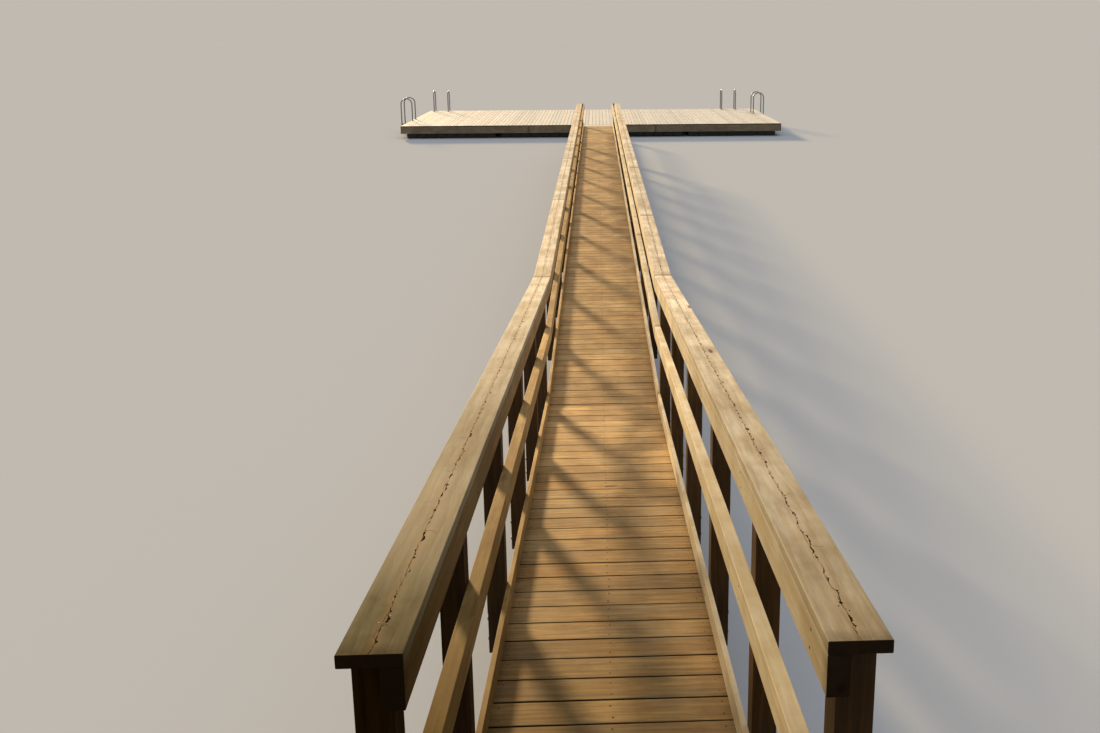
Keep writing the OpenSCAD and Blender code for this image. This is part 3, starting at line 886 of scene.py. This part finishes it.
def make_ladder(name, screws):
    """A ladder's two hoops, each with its flange and weld. The screws get the flanges' heads."""
    low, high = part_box(name)
    if high.x - low.x > high.y - low.y:
        out, across = Y, X
        inner, outer = low.y + FLANGE_R, high.y - TUBE_R
        rows = (low.x + FLANGE_R, high.x - FLANGE_R)
    else:
        out, across = X, Y
        inner, outer = low.x + FLANGE_R, high.x - TUBE_R
        if name == "ladder_front_left":
            inner, outer = high.x - FLANGE_R, low.x + TUBE_R
        rows = (low.y + FLANGE_R, high.y - FLANGE_R)
    middle, arch_r = (inner + outer) / 2, abs(outer - inner) / 2
    spring = high.z - TUBE_R - arch_r
    away = math.copysign(1, outer - inner)
    flange = [(0.0, FLANGE_R), (FLANGE_T * 0.8, FLANGE_R), (FLANGE_T, FLANGE_R - FLANGE_EDGE)]
    bead = [(FLANGE_T * 0.5, TUBE_R + BEAD), (FLANGE_T, TUBE_R + BEAD), (FLANGE_T + BEAD, TUBE_R + BEAD_TOE)]
    screw_z = FLANGE_T - FLANGE_SCREW_SUNK
    points, faces = [], []
    for row in rows:
        base = across * row
        foot = base + out * inner + Z * DECK_Z
        path = [foot]
        for k in range(ARCH_STEPS + 1):
            a = math.pi * k / ARCH_STEPS
            over = middle - away * arch_r * math.cos(a)
            path.append(base + out * over + Z * (spring + arch_r * math.sin(a)))
        path.append(base + out * outer + Z * low.z)
        sweep(points, faces, path, [TUBE_R] * len(path), across)
        for rings in (flange, bead):
            sweep(points, faces, [foot + Z * z for z, r in rings], [r for z, r in rings], across, sides=32)
        for k in range(FLANGE_SCREWS):
            a = math.pi / 4 + k * math.tau / FLANGE_SCREWS
            at = foot + Vector((FLANGE_SCREW_AT * math.cos(a), FLANGE_SCREW_AT * math.sin(a), screw_z))
            screws.head(at, Z, FLANGE_SCREW_R, FLANGE_SCREW_H, sides=8)
    mesh = bpy.data.meshes.new(name + "_tubes")
    mesh.from_pydata(points, [], faces)
    mesh.materials.append(STEEL)
    mesh.shade_smooth()
    mesh.set_sharp_from_angle(angle=math.radians(SHARP_FROM))
    put(bpy.data.objects.new(name + "_tubes", mesh), "steel_tube", name)


flange_screws = Heads("flange_screws", BOLT, "steel_tube")
for name in ("ladder_front_left", "ladder_back_left", "ladder_right", "ladder_back_right"):
    make_ladder(name, flange_screws)
flange_screws.make()
repaint(STEEL, "ladder_treads")


# Screws and bolts: two steel screws in each board along each stringer, a little off line as driven by
# hand, two through each rail and cap into each post, and two washered bolts that hold each post.
HEAD_H = 0.0016         # height of a screw's head
SUNK = 0.0012           # how much of it sits in the wood
RAIL_SUNK = 0.0008      # and in a rail
OUTER_SCREW_R = 0.0036  # heads in the deck along the outer stringers
CENTRE_SCREW_R = 0.0046
FIXING_SCREW_R = 0.0042  # heads in the platform and the rails
CAP_SCREW_R = 0.003
DECK_SCREWS = (-0.26, 0.26)  # places on a board, as shares of its pitch
PLATFORM_SCREWS = (0.27, 0.73)
RAIL_SCREWS = (0.25, 0.75)  # as shares of a rail's height
CAP_SCREWS = (-0.009, 0.009)  # metres from a cap's middle
POST_BOLTS = (0.05, 0.155)  # metres above a post's foot
BOLT_R = 0.0105
BOLT_H = 0.008
WASHER_R = 0.019
DECK_IN = 0.03          # from the kick rail to the outer deck screws
PLATFORM_ROWS = 7       # one over each joist
PLATFORM_IN = 0.05      # from the boards' ends to the first and last row
DECK_STRAY = 0.004      # how far off line a deck screw sits along the walkway
DECK_STRAY_X = 0.006    # and across it
PLATFORM_STRAY = 0.006
RAIL_STRAY = 0.012
CAP_STRAY = 0.03

# Steel screws dulled by weather: dark brown heads with rust on them.
SCREW = metal("dulled_screws", "#4A443B", 0.5, rust=0.6)


def make_deck_screws():
    r = random.Random(91)
    screws = Heads("deck_screws", SCREW, "steel_tube")
    edge = KICK_PART[0].x - DECK_IN
    for middle, along, up, pitch in laid:
        for x, radius in ((-edge, OUTER_SCREW_R), (0.0, CENTRE_SCREW_R), (edge, OUTER_SCREW_R)):
            for part in DECK_SCREWS:
                at = middle + along * (part * pitch + r.uniform(-DECK_STRAY, DECK_STRAY))
                at = at + X * (x + r.uniform(-DECK_STRAY_X, DECK_STRAY_X)) - up * SUNK
                screws.head(at, up, radius, HEAD_H, sides=8)
    screws.make()


def make_platform_screws():
    r = random.Random(93)
    screws = Heads("platform_screws", SCREW, "steel_tube")
    pitch = PLATFORM_W / PLATFORM_BOARDS
    run = platform_high.y - platform_low.y - 2 * PLATFORM_IN
    for i in range(PLATFORM_BOARDS):
        for k in range(PLATFORM_ROWS):
            row = platform_low.y + PLATFORM_IN + k * run / (PLATFORM_ROWS - 1)
            for part in PLATFORM_SCREWS:
                y = row + r.uniform(-PLATFORM_STRAY, PLATFORM_STRAY)
                at = Vector((platform_low.x + (i + part) * pitch, y, platform_high.z - SUNK))
                screws.head(at, Z, FIXING_SCREW_R, HEAD_H, sides=6)
    screws.make()


def make_rail_fixings():
    r = random.Random(95)
    screws = Heads("rail_screws", SCREW, "steel_tube")
    bolts = Heads("post_bolts", BOLT, "steel_tube")
    full = [(spot, (TOP_PART, MID_PART, KICK_PART)) for spot in post_places()]
    low_ones = [(spot, (MID_PART, KICK_PART)) for spot in low_post_places()]
    cap_x = (cap_low.x + cap_high.x) / 2
    for (y, foot, head), parts in full + low_ones:
        rise = deck_z(y) - DECK_Z
        for side in (1, -1):
            for low, high in parts:
                for part in RAIL_SCREWS:
                    at = Vector((side * (low.x + RAIL_SUNK), y + r.uniform(-RAIL_STRAY, RAIL_STRAY),
                                 low.z + part * (high.z - low.z) + rise))
                    screws.head(at, X * -side, FIXING_SCREW_R, HEAD_H, sides=8)
            for part in POST_BOLTS:
                at = Vector((side * posts_high.x, y, foot + part))
                bolts.head(at, X * side, BOLT_R, BOLT_H, washer=WASHER_R)
            if TOP_PART in parts:
                for dx in CAP_SCREWS:
                    at = Vector((side * cap_x + dx, y + r.uniform(-CAP_STRAY, CAP_STRAY), cap_high.z - SUNK))
                    at.z += deck_z(at.y) - DECK_Z
                    screws.head(at, UP_RAMP if y < 0 else Z, CAP_SCREW_R, HEAD_H, sides=8)
    screws.make()
    bolts.make()


make_deck_screws()
make_platform_screws()
make_rail_fixings()
